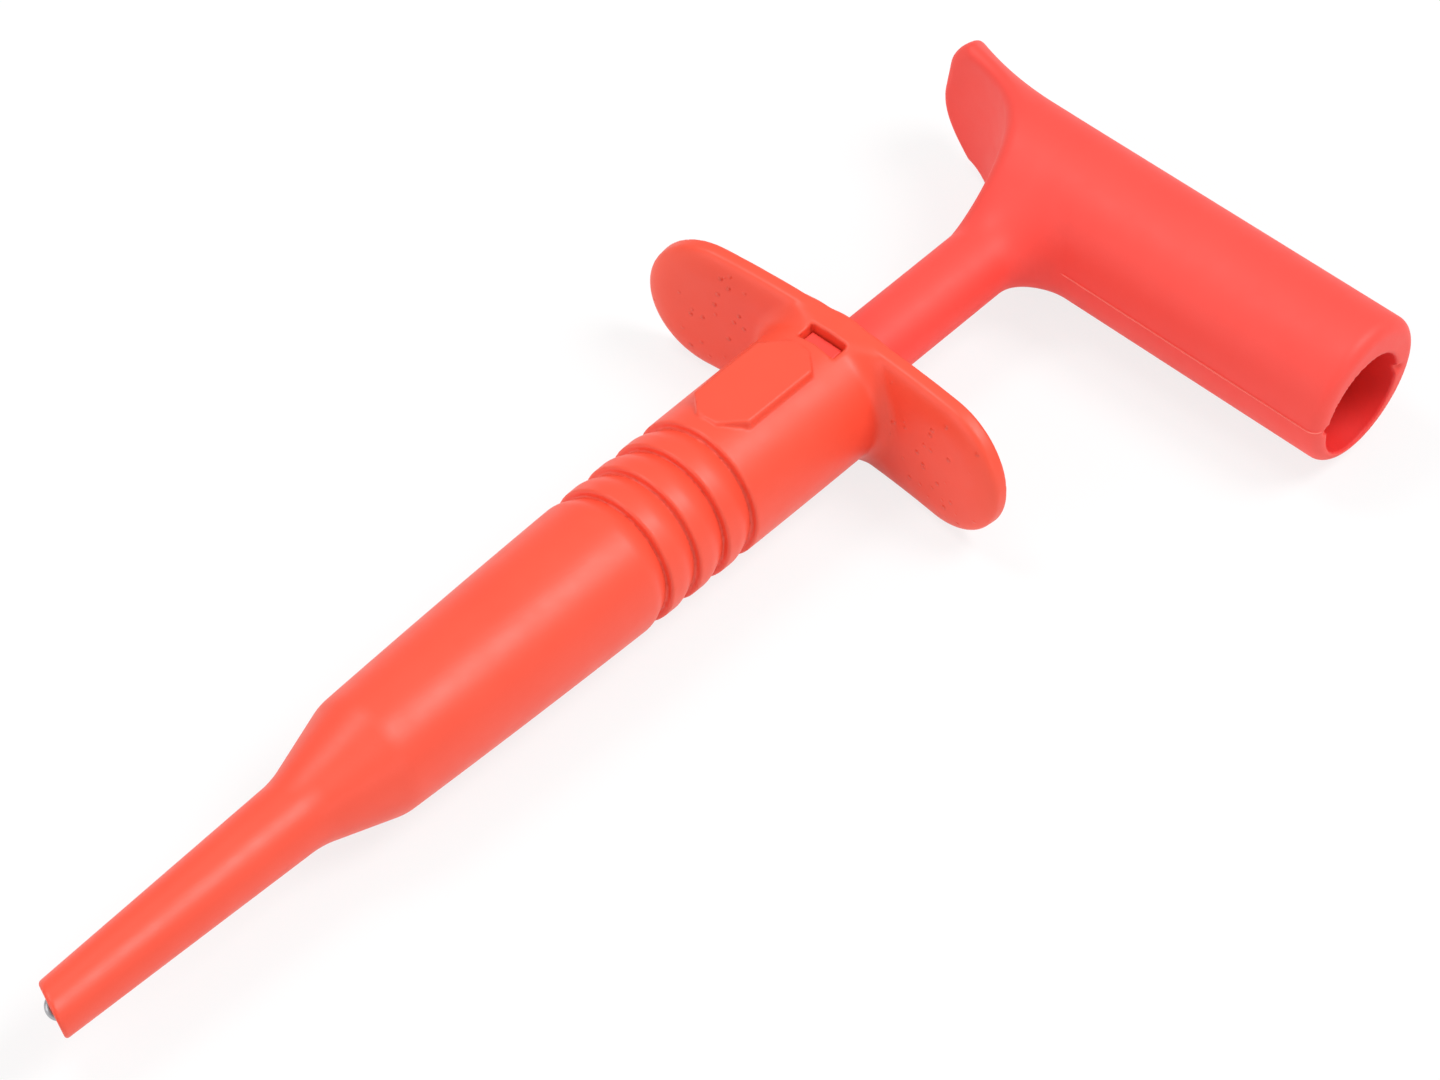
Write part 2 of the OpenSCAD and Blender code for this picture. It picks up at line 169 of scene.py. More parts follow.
# Thumb paddle and its hollow
PADDLE_START = 3.8
PADDLE_SWEEP_R = 28.0
PADDLE_REACH = 11.8
PADDLE_LEAN = math.radians(15)
PADDLE_HALF = 5.35
PADDLE_SPREAD = 0.5
PADDLE_CORNER_TOP = 2.8
PADDLE_CORNER_LOW = 5.2
PADDLE_EDGE = 0.25
PADDLE_BACK_R = PADDLE_SWEEP_R - BAR_R
PADDLE_TURN = math.asin((PADDLE_REACH - PADDLE_START) / PADDLE_BACK_R)
PADDLE_REAR_X = BAR_OUTER_X - PADDLE_SWEEP_R + PADDLE_BACK_R * math.cos(PADDLE_TURN)
HOLLOW_R = 9.0
HOLLOW_AHEAD = 5.53
HOLLOW_X = BAR_X + HOLLOW_AHEAD
HOLLOW_Y = -11.8
HOLLOW_EDGE_LOW = 0.6
HOLLOW_EDGE_TOP = 1.2

# Return spring
SPRING_R = 2.225
SPRING_WIRE_R = 0.225
SPRING_TURNS = 15.5
SPRING_CLOSED_PITCH = 0.54
SPRING_REAR = 20.02
SPRING_FRONT = 46.38
SPRING_LENGTH = SPRING_FRONT - SPRING_REAR

# Meshes: grid step, and room round a piece
GRID = 0.2
MARGIN = 3 * GRID

# The barrel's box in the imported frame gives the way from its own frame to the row's
barrel_low, barrel_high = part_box("barrel")
SHIFT = np.array((
    barrel_low.x / MM + HUB_BACK,
    (barrel_low.y + barrel_high.y) / 2 / MM,
    barrel_low.z / MM + BARREL_R,
))


def row(points):
    """Points in the barrel's frame, in millimetres, as row frame metres."""
    return (np.asarray(points, float) + SHIFT) * MM


# Fields: each gives the distance to a shape's skin, below 0 inside it

def joined(a, b, r):
    """Union of two shapes with a fillet of radius r between them."""
    return np.maximum(r, np.minimum(a, b)) - np.hypot(np.maximum(r - a, 0), np.maximum(r - b, 0))


def common(a, b, r):
    """What two shapes share, with the edge between them rounded to radius r."""
    return np.minimum(-r, np.maximum(a, b)) + np.hypot(np.maximum(r + a, 0), np.maximum(r + b, 0))


def between(value, low, high):
    """Slab between two values of a coordinate."""
    return np.maximum(low - value, value - high)


def belly_r(x):
    """Radius of the belly, which falls off as a parabola ahead of the straight rear."""
    run = np.clip((x - STRAIGHT_LENGTH) / (SHOULDER_X - STRAIGHT_LENGTH), 0, None)
    return BARREL_R - (BARREL_R - SHOULDER_R) * run ** 2


def turned_body(x, rad):
    """Belly, shoulder cone and nose of the barrel."""
    cone_fall = (SHOULDER_R - NOSE_BASE_R) / SHOULDER_LENGTH
    nose_fall = (NOSE_BASE_R - NOSE_TIP_R) / (BARREL_LENGTH - NOSE_X)
    cone = (rad - SHOULDER_R + cone_fall * (x - SHOULDER_X)) / math.hypot(1, cone_fall)
    nose = rad - NOSE_BASE_R + nose_fall * (x - NOSE_X)
    body = common(rad - belly_r(x), cone, SHOULDER_EDGE)
    return joined(body, nose, NOSE_FILLET)


def wing_plate(x, y, z):
    """The bowed finger flange with its flat, half-round ends."""
    side = np.abs(y)
    end_x = FLANGE_BOW_R * (1 - math.cos(WING_TURN))
    end_y = FLANGE_BOW_R * math.sin(WING_TURN)
    past = (x - end_x) * math.sin(WING_TURN) + (side - end_y) * math.cos(WING_TURN)
    flat = (x - end_x) * math.cos(WING_TURN) - (side - end_y) * math.sin(WING_TURN)
    bowed = FLANGE_BOW_R - np.hypot(FLANGE_BOW_R - x, y)
    height = np.where(past > 0, flat, bowed)
    outline = np.hypot(np.maximum(past, 0), z) - FLANGE_HALF
    plate = common(outline * FLANGE_ROUND / FLANGE_ROUND_WIDE, height - FLANGE_T, FLANGE_ROUND)
    return common(plate, -height, BACK_EDGE)


def pad_block(x, y, z):
    """Flat pad with four cut corners, turned a little about the barrel."""
    along = np.abs(x - PAD_X - PAD_LENGTH / 2)
    across = np.abs(y * math.cos(PAD_TURN) + z * math.sin(PAD_TURN))
    up = z * math.cos(PAD_TURN) - y * math.sin(PAD_TURN)
    corner = (along + across - (PAD_LENGTH + PAD_WIDTH) / 2 + PAD_CORNER) / math.sqrt(2)
    outline = np.maximum(np.maximum(along - PAD_LENGTH / 2, across - PAD_WIDTH / 2), corner)
    return np.maximum(common(outline, up - PAD_TOP, PAD_EDGE), -up)


def groove_waste(x, rad, wall_x):
    """Room of one grip groove: a steep wall to the rear and a slope that runs out on the barrel."""
    low = rad - belly_r(wall_x) + GROOVE_DEPTH
    lean = math.hypot(GROOVE_DEPTH, GROOVE_LENGTH)
    slope = ((x - wall_x) * GROOVE_DEPTH - low * GROOVE_LENGTH) / lean
    return np.maximum(wall_x - x, slope)


def barrel_rooms(x, y, z, rad):
    """The barrel's bores, keyway and latch window."""
    bore = np.maximum(rad - STEM_BORE_R, x - CHAMBER_DEPTH)
    rooms = np.minimum(bore, rad - NOSE_BORE_R)
    keyway = np.maximum(np.abs(y) - KEYWAY_WIDTH / 2, between(z, 0, KEYWAY_TOP))
    keyway = np.maximum(keyway, between(x, WINDOW_X, WINDOW_X + KEYWAY_LENGTH))
    window = np.maximum(np.abs(y) - WINDOW_WIDTH / 2, WINDOW_FLOOR - z)
    window = np.maximum(window, between(x, WINDOW_X, WINDOW_X + WINDOW_LENGTH))
    return np.minimum(np.minimum(rooms, keyway), window)


def barrel_field(x, y, z):
    """The barrel: grooved body, flange with its hub, pad, slanted tip and inner rooms."""
    rad = np.hypot(y, z)
    body = common(turned_body(x, rad), -HUB_BACK - x, BACK_EDGE)
    for i in range(GROOVE_COUNT):
        body = common(body, -groove_waste(x, rad, GROOVE_START + i * GROOVE_PITCH), GROOVE_EDGE)
    plate = wing_plate(x, y, z)
    hub = common(joined(body, plate, HUB_FILLET), np.abs(z) - FLANGE_HALF, HUB_EDGE)
    solid = np.minimum(np.minimum(body, plate), np.maximum(hub, -x))
    solid = np.minimum(solid, pad_block(x, y, z))
    long_side = y * math.cos(TIP_TURN) + z * math.sin(TIP_TURN)
    slant = math.cos(TIP_SLANT) * (x - TIP_CUT_X) - math.sin(TIP_SLANT) * long_side
    solid = common(solid, slant, TIP_EDGE)
    return common(solid, -barrel_rooms(x, y, z, rad), OPENING_EDGE)


def bar_skin(x, y, z):
    """The socket tube, carried on as the swept-back paddle."""
    up = z - BAR_UP
    share = np.clip(y / (MOUTH_Y - MOUTH_ROUND), 0, 1)
    tube = np.hypot(x - BAR_OUTER_X, up) - BAR_R - (MOUTH_R - BAR_R) * share
    turn = np.hypot(x - BAR_OUTER_X + PADDLE_SWEEP_R, y + PADDLE_START) - PADDLE_SWEEP_R
    swept = np.hypot(turn, up) - BAR_R
    skin = np.where(y < -PADDLE_START, swept, tube)
    return common(skin, y - MOUTH_Y, MOUTH_ROUND)


def paddle_outline(x, y, z):
    """Leaning front view of the paddle, tapered to two rounded corners."""
    up = z - BAR_UP
    short = (x - PADDLE_REAR_X) * math.sin(PADDLE_LEAN) + (y + PADDLE_REACH) * math.cos(PADDLE_LEAN)
    taper = (BAR_R + PADDLE_SPREAD - PADDLE_HALF) / (PADDLE_REACH - PADDLE_START)
    edge = np.abs(up) - PADDLE_HALF - taper * short
    top = common(edge, -short, PADDLE_CORNER_TOP)
    low = common(edge, -short, PADDLE_CORNER_LOW)
    return np.where(up > 0, top, low)


def latch_tab(x, y, z):
    """The stem's latch tab with its leaning front."""
    along = x - LATCH_X
    lean = LATCH_TOP - STEM_R
    run = LATCH_LENGTH - LATCH_FLAT
    front = ((along - LATCH_LENGTH) * lean + (z - STEM_R) * run) / math.hypot(lean, run)
    tab = np.maximum(np.abs(y) - LATCH_WIDTH / 2, between(z, 0, LATCH_TOP))
    tab = np.maximum(tab, between(along, 0, LATCH_LENGTH))
    return common(tab, front, LATCH_EDGE)


def handle_field(x, y, z):
    """The plunger handle: bar, paddle and stem in one, with the tab, hollow, shroud and nicks."""
    rad = np.hypot(y, z)
    bar = common(bar_skin(x, y, z), paddle_outline(x, y, z), PADDLE_EDGE)
    stem = common(np.maximum(rad - STEM_R, BAR_X - x), x - STEM_INSIDE, STEM_EDGE)
    solid = joined(bar, stem, STEM_FILLET)
    hollow = np.hypot(x - HOLLOW_X, y - HOLLOW_Y) - HOLLOW_R
    height = np.clip((z - BAR_UP) / PADDLE_HALF, 0, 1)
    soft = HOLLOW_EDGE_LOW + (HOLLOW_EDGE_TOP - HOLLOW_EDGE_LOW) * height
    solid = common(solid, -hollow, soft)
    solid = np.minimum(solid, latch_tab(x, y, z))
    shroud = np.maximum(np.hypot(x - BAR_X, z) - SHROUD_R, SHROUD_FLOOR - y)
    for side in (-1, 1):
        away = np.hypot(x - BAR_X - side * (SHROUD_R + NICK_OUT), y - MOUTH_Y)
        shroud = np.minimum(shroud, np.hypot(away, z - NICK_UP) - NICK_R)
    return common(solid, -shroud, SHROUD_EDGE)


# Meshes

def surface_net(field, low, high, step):
    """Quads over a field's zero skin, from one point in each grid cell that the skin crosses."""
    axes = [np.arange(a, b + step, step, dtype=np.float32) for a, b in zip(low, high)]
    values = field(*np.meshgrid(*axes, indexing="ij", sparse=True)).astype(np.float32)
    inside = values < 0
    shape = np.array(values.shape)
    corners = [(i, j, k) for i in (0, 1) for j in (0, 1) for k in (0, 1)]
    count = np.zeros(shape - 1, np.uint8)
    for c in corners:
        count += inside[tuple(slice(o, n - 1 + o) for o, n in zip(c, shape))]
    mixed = (count > 0) & (count < len(corners))
    cell = np.stack(np.nonzero(mixed), 1)
    ids = np.full(mixed.shape, -1, np.int64)
    ids[mixed] = np.arange(len(cell))
    at = {c: values[tuple((cell + c).T)] for c in corners}
    total = np.zeros((len(cell), 3))
    crossings = np.zeros(len(cell))
    for a in corners:
        for axis in range(3):
            if a[axis]:
                continue
            b = tuple(v + (i == axis) for i, v in enumerate(a))
            cut = (at[a] < 0) != (at[b] < 0)
            share = np.where(cut, at[a] / np.where(cut, at[a] - at[b], 1), 0)
            point = np.repeat(np.array(a, float)[None], len(cell), 0)
            point[:, axis] += share
            total += point * cut[:, None]
            crossings += cut
    points = np.array(low) + (cell + total / crossings[:, None]) * step
    quads = []
    for axis in range(3):
        b, c = (axis + 1) % 3, (axis + 2) % 3
        near, far = [slice(None)] * 3, [slice(None)] * 3
        near[axis], far[axis] = slice(0, -1), slice(1, None)
        for other in (b, c):
            near[other] = far[other] = slice(1, -1)
        start, end = inside[tuple(near)], inside[tuple(far)]
        base = np.stack(np.nonzero(start != end), 1)
        outward = start[start != end]
        ring = []
        for back_b, back_c in ((0, 0), (1, 0), (1, 1), (0, 1)):
            index = base.copy()
            index[:, b] += back_b
            index[:, c] += back_c
            ring.append(ids[tuple(index.T)])
        quad = np.stack(ring, 1)
        quads.append(np.where(outward[:, None], quad, quad[:, ::-1]))
    return points, np.concatenate(quads)


def settled(field, points, step):
    """Points moved along the field's slope onto its zero skin, by half a step a round at most."""
    rounds = 3
    reach = 0.01
    least_slope = 0.2
    least_length = 1e-9
    for _ in range(rounds):
        value = field(*points.T)
        slope = np.stack([
            (field(*(points + d).T) - field(*(points - d).T)) / (2 * reach)
            for d in np.eye(3) * reach
        ], 1)
        move = value[:, None] * slope / np.maximum((slope ** 2).sum(1), least_slope)[:, None]
        length = np.maximum(np.linalg.norm(move, axis=1), least_length)[:, None]
        points = points - move * np.minimum(1, step / 2 / length)
    return points


def mesh_piece(name, points, faces, material, smooth=True):
    """A mesh object from row frame points and faces that all have the same number of corners."""
    mesh = bpy.data.meshes.new(name)
    faces = np.asarray(faces, np.int32)
    starts = np.arange(0, faces.size, faces.shape[1], dtype=np.int32)
    mesh.vertices.add(len(points))
    mesh.vertices.foreach_set("co", np.asarray(points, np.float32).ravel())
    mesh.loops.add(faces.size)
    mesh.loops.foreach_set("vertex_index", faces.ravel())
    mesh.polygons.add(len(faces))
    mesh.polygons.foreach_set("loop_start", starts)
    mesh.polygons.foreach_set("use_smooth", np.full(len(faces), smooth))
    mesh.update(calc_edges=True)
    mesh.validate()
    mesh.materials.append(material)
    piece = bpy.data.objects.new(name, mesh)
    bpy.context.scene.collection.objects.link(piece)
    return piece


def moulding(name, field, low, high, material):
    """A piece meshed over its field between two corners of the barrel's frame."""
    points, quads = surface_net(field, low, high, GRID)
    return mesh_piece(name, row(settled(field, points, GRID)), quads, material)


def tube_faces(rings, sides):
    """Quads of a tube through rings of points, closed at both ends."""
    start = sides * np.arange(rings - 1)[:, None]
    here = np.arange(sides)[None]
    ahead = np.roll(here, -1)
    walls = np.stack([start + here, start + sides + here, start + sides + ahead, start + ahead], 2)
    k = np.arange(sides // 2 - 1)
    cap = np.stack([k, k + 1, sides - 2 - k, sides - 1 - k], 1)
    return np.concatenate([walls.reshape(-1, 4), cap, sides * (rings - 1) + cap[:, ::-1]])


def flash_line(name, material):
    """The mould's parting line on the front of the socket tube: a low, uneven ridge."""
    straight, bend = 80, 10
    count = straight + bend
    shoulder = MOUTH_Y - MOUTH_ROUND
    turn = np.concatenate([np.zeros(straight), np.linspace(0, FLASH_BEND, bend + 1)[1:]])
    y = np.concatenate([np.linspace(FLASH_START, shoulder, straight), np.full(bend, shoulder)])
    radius = BAR_R + (MOUTH_R - BAR_R) * y / shoulder - MOUTH_ROUND
    uneven = np.random.default_rng(FLASH_SEED).uniform(FLASH_LEAST, 1, count)
    rise = FLASH_RISE * uneven * np.sin(np.linspace(0, np.pi, count)) ** FLASH_FADE
    # Across the ridge: from under the skin up a shallow lower side, then down a steep upper one
    profile = (
        (-FLASH_WIDTH, -FLASH_SUNK),
        (-FLASH_CREST, rise),
        (FLASH_CREST, rise),
        (FLASH_FOOT, -FLASH_SUNK),
    )
    lines = []
    for across, up in profile:
        reach = MOUTH_ROUND + up
        x = BAR_OUTER_X + radius + reach * np.cos(turn)
        lines.append(np.stack([x, y + reach * np.sin(turn), np.full(count, BAR_UP + across)], 1))
    points = np.stack(lines, 1).reshape(-1, 3)
    return mesh_piece(name, row(points), tube_faces(count, len(profile)), material, smooth=False)


def coil(name, material):
    """The return spring with closed end turns, as a round wire."""
    sides, rings_per_turn = 12, 36
    turns = np.linspace(0, SPRING_TURNS, int(SPRING_TURNS * rings_per_turn) + 1)
    length = SPRING_LENGTH - 2 * SPRING_WIRE_R
    rise = np.interp(
        turns, [0, 1, SPRING_TURNS - 1, SPRING_TURNS],
        [0, SPRING_CLOSED_PITCH, length - SPRING_CLOSED_PITCH, length],
    )
    around = np.linspace(0, 2 * np.pi, sides, endpoint=False)
    radius = SPRING_R + SPRING_WIRE_R * np.cos(around)[None]
    x = (SPRING_REAR + SPRING_WIRE_R + rise)[:, None] + SPRING_WIRE_R * np.sin(around)[None]
    angle = (2 * np.pi * turns)[:, None]
    points = np.stack([x, radius * np.cos(angle), radius * np.sin(angle)], 2).reshape(-1, 3)
    return mesh_piece(name, row(points), tube_faces(len(turns), sides), material)


# Shader nodes

def new_material(name):
    """A material with its nodes, its links and its shader."""
    material = bpy.data.materials.new(name)
    material.use_nodes = True
    nodes = material.node_tree.nodes
    return material, nodes, material.node_tree.links, nodes["Principled BSDF"]


def noise(nodes, links, coords, size_mm, detail=2.0):
    """Noise whose features are about size_mm across."""
    node = nodes.new("ShaderNodeTexNoise")
    node.inputs["Scale"].default_value = 1 / (size_mm * MM)
    node.inputs["Detail"].default_value = detail
    links.new(coords.outputs["Object"], node.inputs["Vector"])
    return node.outputs["Fac"]


def ranged(nodes, links, value, low, high):
    """Noise, most of which lies between 0.25 and 0.75, spread from low to high."""
    node = nodes.new("ShaderNodeMapRange")
    node.inputs["From Min"].default_value = 0.25
    node.inputs["From Max"].default_value = 0.75
    node.inputs["To Min"].default_value = low
    node.inputs["To Max"].default_value = high
    links.new(value, node.inputs["Value"])
    return node.outputs["Result"]


def mixed_colour(nodes, links, factor, first, second):
    """Colour from the first, a socket or plain values, to the second, plain values."""
    node = nodes.new("ShaderNodeMix")
    node.data_type = "RGBA"
    links.new(factor, node.inputs["Factor"])
    if isinstance(first, tuple):
        node.inputs["A"].default_value = (*first, 1)
    else:
        links.new(first, node.inputs["A"])
    node.inputs["B"].default_value = (*second, 1)
    return node.outputs["Result"]


def bump(nodes, links, height, depth_mm, strength, base=None):
    """Relief from a height between 0 and 1, on top of another one where base is given."""
    node = nodes.new("ShaderNodeBump")
    node.inputs["Strength"].default_value = strength
    node.inputs["Distance"].default_value = depth_mm * MM
    links.new(height, node.inputs["Height"])
    if base is not None:
        links.new(base, node.inputs["Normal"])
    return node.outputs["Normal"]


def math_node(nodes, links, operation, *values):
    """One step of shader arithmetic on sockets and numbers."""
    node = nodes.new("ShaderNodeMath")
    node.operation = operation
    for slot, value in zip(node.inputs, values):
        if isinstance(value, (int, float)):
            slot.default_value = value
        else:
            links.new(value, slot)
    return node.outputs[0]


def wing_specks(nodes, links, coords):
    """Sparse raised specks on the front faces of the flange's wings."""
    spots = nodes.new("ShaderNodeTexVoronoi")
    spots.inputs["Scale"].default_value = 1 / (SPECK_SPACING * MM)
    links.new(coords.outputs["Object"], spots.inputs["Vector"])
    dome = nodes.new("ShaderNodeMapRange")
    dome.inputs["From Max"].default_value = SPECK_R / SPECK_SPACING
    dome.inputs["To Min"].default_value = 1
    dome.inputs["To Max"].default_value = 0
    links.new(spots.outputs["Distance"], dome.inputs["Value"])
    tint = nodes.new("ShaderNodeSeparateColor")
    links.new(spots.outputs["Color"], tint.inputs["Color"])
    place = nodes.new("ShaderNodeSeparateXYZ")
    links.new(coords.outputs["Object"], place.inputs["Vector"])
    geometry = nodes.new("ShaderNodeNewGeometry")
    facing = nodes.new("ShaderNodeSeparateXYZ")
    links.new(geometry.outputs["Normal"], facing.inputs["Vector"])
    off_axis = math_node(nodes, links, "SUBTRACT", place.outputs["Y"], SHIFT[1] * MM)
    aside = math_node(nodes, links, "ABSOLUTE", off_axis)
    height = dome.outputs["Result"]
    for part in (
        math_node(nodes, links, "GREATER_THAN", tint.outputs["Red"], SPECK_SPARSE),
        math_node(nodes, links, "GREATER_THAN", aside, BARREL_R * MM),
        math_node(nodes, links, "LESS_THAN", place.outputs["X"], (SHIFT[0] + PAD_X) * MM),
        math_node(nodes, links, "GREATER_THAN", facing.outputs["X"], SPECK_FACING),
    ):
        height = math_node(nodes, links, "MULTIPLY", height, part)
    return height


def bore_shade_mask(nodes, links, coords):
    """Mask of the bore's painted shade: 1 on the wall and the floor of the socket's bore and 0
    outside it.
    """
    place = nodes.new("ShaderNodeSeparateXYZ")
    links.new(coords.outputs["Object"], place.inputs["Vector"])
    axis_x, floor_y, axis_z = row((BAR_X, SHROUD_FLOOR - SHROUD_SHADE_UNDER, 0))
    beside = math_node(nodes, links, "SUBTRACT", place.outputs["X"], axis_x)
    above = math_node(nodes, links, "SUBTRACT", place.outputs["Z"], axis_z)
    square = math_node(
        nodes, links, "ADD",
        math_node(nodes, links, "MULTIPLY", beside, beside),
        math_node(nodes, links, "MULTIPLY", above, above),
    )
    near = math_node(nodes, links, "LESS_THAN", square, ((SHROUD_R + SHROUD_EDGE / 2) * MM) ** 2)
    past_floor = math_node(nodes, links, "GREATER_THAN", place.outputs["Y"], floor_y)
    return math_node(nodes, links, "MULTIPLY", near, past_floor)


# Materials

BARREL_RED = (0.93, 0.087, 0.042)
BARREL_SHADE = (0.91, 0.079, 0.037)
HANDLE_RED = (0.93, 0.071, 0.052)
HANDLE_SHADE = (0.91, 0.064, 0.047)
# Painted shade: a deeper red for the shade inside the socket's bore
BORE_SHADE_RED = (0.9, 0.03, 0.026)
# Painted highlight: the parting line is a lighter red than the handle, standing in for the light
# its ridge catches
FLASH_HIGHLIGHT_RED = (0.97, 0.2, 0.16)
FLASH_HIGHLIGHT_TONE = (0.95, 0.17, 0.135)
SLEEVE_RED = (0.6, 0.05, 0.04)
SLEEVE_SHADE = (0.5, 0.04, 0.03)
HOOK_GREY = (0.5, 0.5, 0.52)
SPRING_GREY = (0.62, 0.62, 0.63)
WASHER_GREY = (0.62, 0.62, 0.64)
BRASS = (0.8, 0.6, 0.28)

# Marks of moulded plastic: sizes and depths in millimetres
TONE_SIZE = 7
FLOW_SIZE = 1.6
FLOW_ROUGH = 0.04
WAVE_SIZE = 5
WAVE_DEPTH = 0.06
GRAIN_SIZE = 0.22
GRAIN_DEPTH = 0.02
GRAIN_DETAIL = 3
PLASTIC_BUMP = 0.25

# Marks of bare metal
METAL_TONE_SIZE = 1.2
METAL_SHADE = 0.8
STREAK_DETAIL = 4
STREAK_ROUGH = 0.12
STREAK_DEPTH = 0.01
METAL_BUMP = 0.2


def moulded_plastic(name, colour, shade, rough, specks=False, painted_bore_shade=None):
    """Satin moulded plastic: a fine spark-eroded grain, faint flow marks and slow waves."""
    material, nodes, links, shader = new_material(name)
    coords = nodes.new("ShaderNodeTexCoord")
    clouds = ranged(nodes, links, noise(nodes, links, coords, TONE_SIZE), 0, 1)
    tone = mixed_colour(nodes, links, clouds, colour, shade)
    # Painted shade: the socket's bore turns a deeper red that stands in for the shade inside it
    if painted_bore_shade is not None:
        tone = mixed_colour(nodes, links, bore_shade_mask(nodes, links, coords), tone, painted_bore_shade)
    links.new(tone, shader.inputs["Base Color"])
    flow = noise(nodes, links, coords, FLOW_SIZE)
    sheen = ranged(nodes, links, flow, rough - FLOW_ROUGH, rough + FLOW_ROUGH)
    links.new(sheen, shader.inputs["Roughness"])
    waves = bump(nodes, links, noise(nodes, links, coords, WAVE_SIZE), WAVE_DEPTH, PLASTIC_BUMP)
    fine = noise(nodes, links, coords, GRAIN_SIZE, GRAIN_DETAIL)
    relief = bump(nodes, links, fine, GRAIN_DEPTH, PLASTIC_BUMP, waves)
    if specks:
        relief = bump(nodes, links, wing_specks(nodes, links, coords), SPECK_RISE, 1, relief)
    links.new(relief, shader.inputs["Normal"])
    return material


def drawn_metal(name, colour, rough, streak_mm):
    """Bare metal with fine marks from drawing or turning."""
    material, nodes, links, shader = new_material(name)
    coords = nodes.new("ShaderNodeTexCoord")
    shader.inputs["Metallic"].default_value = 1
    clouds = ranged(nodes, links, noise(nodes, links, coords, METAL_TONE_SIZE), 0, 1)
    shade = tuple(METAL_SHADE * c for c in colour)
    links.new(mixed_colour(nodes, links, clouds, colour, shade), shader.inputs["Base Color"])
    streaks = noise(nodes, links, coords, streak_mm, STREAK_DETAIL)
    sheen = ranged(nodes, links, streaks, rough, rough + STREAK_ROUGH)
    links.new(sheen, shader.inputs["Roughness"])
    links.new(bump(nodes, links, streaks, STREAK_DEPTH, METAL_BUMP), shader.inputs["Normal"])
    return material


barrel_plastic = moulded_plastic(
    "barrel_plastic", BARREL_RED, BARREL_SHADE, rough=0.45, specks=True,
)
# The handle's colour carries the bore's painted shade
handle_plastic = moulded_plastic(
    "handle_plastic", HANDLE_RED, HANDLE_SHADE, rough=0.56, painted_bore_shade=BORE_SHADE_RED,
)
# Painted highlight: the parting line's lighter material stands in for the light it catches
flash_highlight_plastic = moulded_plastic("flash_highlight_plastic", FLASH_HIGHLIGHT_RED, FLASH_HIGHLIGHT_TONE, rough=0.5)
sleeve_plastic = moulded_plastic("sleeve_plastic", SLEEVE_RED, SLEEVE_SHADE, rough=0.45)
hook_steel = drawn_metal("hook_steel", HOOK_GREY, rough=0.3, streak_mm=0.15)
spring_steel = drawn_metal("spring_steel", SPRING_GREY, rough=0.25, streak_mm=0.12)
washer_steel = drawn_metal("washer_steel", WASHER_GREY, rough=0.35, streak_mm=0.3)
brass = drawn_metal("turned_brass", BRASS, rough=0.25, streak_mm=0.1)

# Pieces

barrel = moulding(
    "barrel_moulding", barrel_field,
    (-HUB_BACK - MARGIN, -FLANGE_SPAN / 2 - MARGIN, -BARREL_R - MARGIN),
    (BARREL_LENGTH + MARGIN, FLANGE_SPAN / 2 + MARGIN, PAD_TOP + MARGIN),
    barrel_plastic,
)
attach(barrel, "barrel_body")
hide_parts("barrel")

handle_low, handle_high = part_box("plunger_handle")
handle = moulding(
    "handle_moulding", handle_field,
    tuple(np.array(handle_low) / MM - SHIFT - MARGIN),
    tuple(np.array(handle_high) / MM - SHIFT + MARGIN),
    handle_plastic,
)
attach(handle, "plunger_body")
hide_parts("plunger_handle")

flash = flash_line("handle_flash", flash_highlight_plastic)
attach(flash, "plunger_body")

spring = coil("spring_coil", spring_steel)
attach(spring, "barrel_body")
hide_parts("return_spring")
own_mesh(spring)

# The other nodes keep their CAD solids
for node, material in {
    "hook_wire": hook_steel,
    "shank_sleeve": sleeve_plastic,
    "hook_ferrule": brass,
    "spring_washer": washer_steel,
    "socket_contact": brass,
}.items():
    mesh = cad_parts[node].data
    mesh.materials.clear()
    mesh.materials.append(material)

# Stage, in row frame metres

FLOOR_HALF = 3.0
FLOOR_GREY = (0.9, 0.9, 0.9)
FLOOR_ROUGH = 0.9
FLOOR_WHITE = 0.8
WORLD_WHITE = (1, 1, 1)
WORLD_STRENGTH = 0.45

# Each lamp's place, width and power
LAMPS = {
    "key": ((-0.28, 0.27, 0.62), 0.34, 2.9),
    "top": ((0.04, -0.36, 0.68), 0.26, 1.5),
    "side": ((0.04, 0.72, 0.24), 0.26, 0.4),
    "fill": ((0.64, -0.22, 0.32), 0.6, 1.4),
}

# The camera's place and its right, up and back directions, fitted to the photograph
CAMERA_LENS = 150
CAMERA_SENSOR = 36
CAMERA_PLACE = row((241.1, 169.6, 303.4))
CAMERA_RIGHT = (-0.650, 0.757, 0.0653)
CAMERA_UP = (-0.532, -0.515, 0.6719)
CAMERA_BACK = (0.542, 0.402, 0.7378)


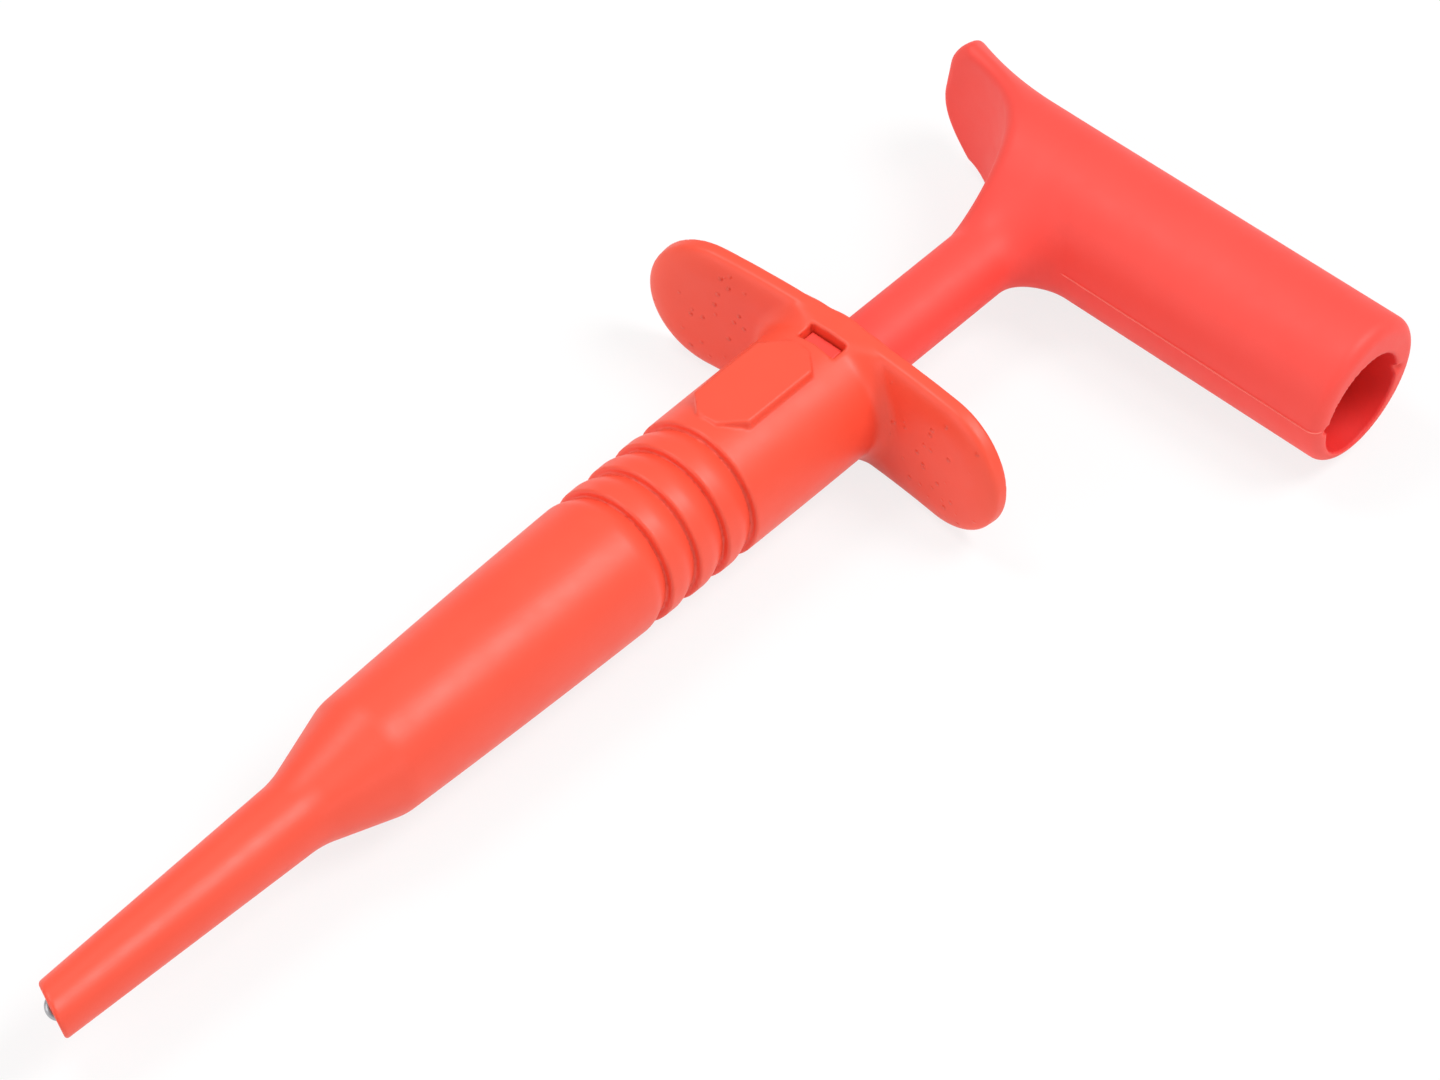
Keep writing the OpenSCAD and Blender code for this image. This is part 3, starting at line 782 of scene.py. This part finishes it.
def floor_material():
    """Pale floor that keeps the shadow; the camera and reflections see it as mostly plain white."""
    material, nodes, links, shader = new_material("floor")
    shader.inputs["Base Color"].default_value = (*FLOOR_GREY, 1)
    shader.inputs["Roughness"].default_value = FLOOR_ROUGH
    shader.inputs["Specular IOR Level"].default_value = 0
    ray = nodes.new("ShaderNodeLightPath").outputs
    seen = ray["Is Camera Ray"]
    for other in ("Is Glossy Ray", "Is Transmission Ray"):
        seen = math_node(nodes, links, "MAXIMUM", seen, ray[other])
    white = nodes.new("ShaderNodeEmission")
    mix = nodes.new("ShaderNodeMixShader")
    links.new(math_node(nodes, links, "MULTIPLY", seen, FLOOR_WHITE), mix.inputs["Fac"])
    links.new(shader.outputs["BSDF"], mix.inputs[1])
    links.new(white.outputs["Emission"], mix.inputs[2])
    links.new(mix.outputs["Shader"], nodes["Material Output"].inputs["Surface"])
    return material


def area_light(name, place, size, power):
    """Round soft light that points at the frame's origin."""
    data = bpy.data.lights.new(name, "AREA")
    data.shape = "DISK"
    data.size = size
    data.energy = power
    light = bpy.data.objects.new(name, data)
    bpy.context.scene.collection.objects.link(light)
    light.location = place
    light.rotation_euler = (-light.location).to_track_quat("-Z", "Y").to_euler()


corner_signs = ((-1, -1), (1, -1), (1, 1), (-1, 1))
floor_corners = [(sx * FLOOR_HALF, sy * FLOOR_HALF, 0) for sx, sy in corner_signs]
floor = mesh_piece("floor", floor_corners, [(0, 1, 2, 3)], floor_material())

world = bpy.data.worlds.new("studio")
bpy.context.scene.world = world
world.use_nodes = True
background = world.node_tree.nodes["Background"]
background.inputs["Color"].default_value = (*WORLD_WHITE, 1)
background.inputs["Strength"].default_value = WORLD_STRENGTH

for name, (place, size, power) in LAMPS.items():
    area_light(name, place, size, power)

cam_data = bpy.data.cameras.new("camera")
cam_data.lens = CAMERA_LENS
cam_data.sensor_width = CAMERA_SENSOR
camera = bpy.data.objects.new("camera", cam_data)
bpy.context.scene.collection.objects.link(camera)
turn = Matrix((CAMERA_RIGHT, CAMERA_UP, CAMERA_BACK)).transposed()
camera.matrix_world = Matrix.Translation(CAMERA_PLACE) @ turn.to_4x4()
bpy.context.scene.camera = camera
bpy.context.scene.view_settings.view_transform = "Standard"
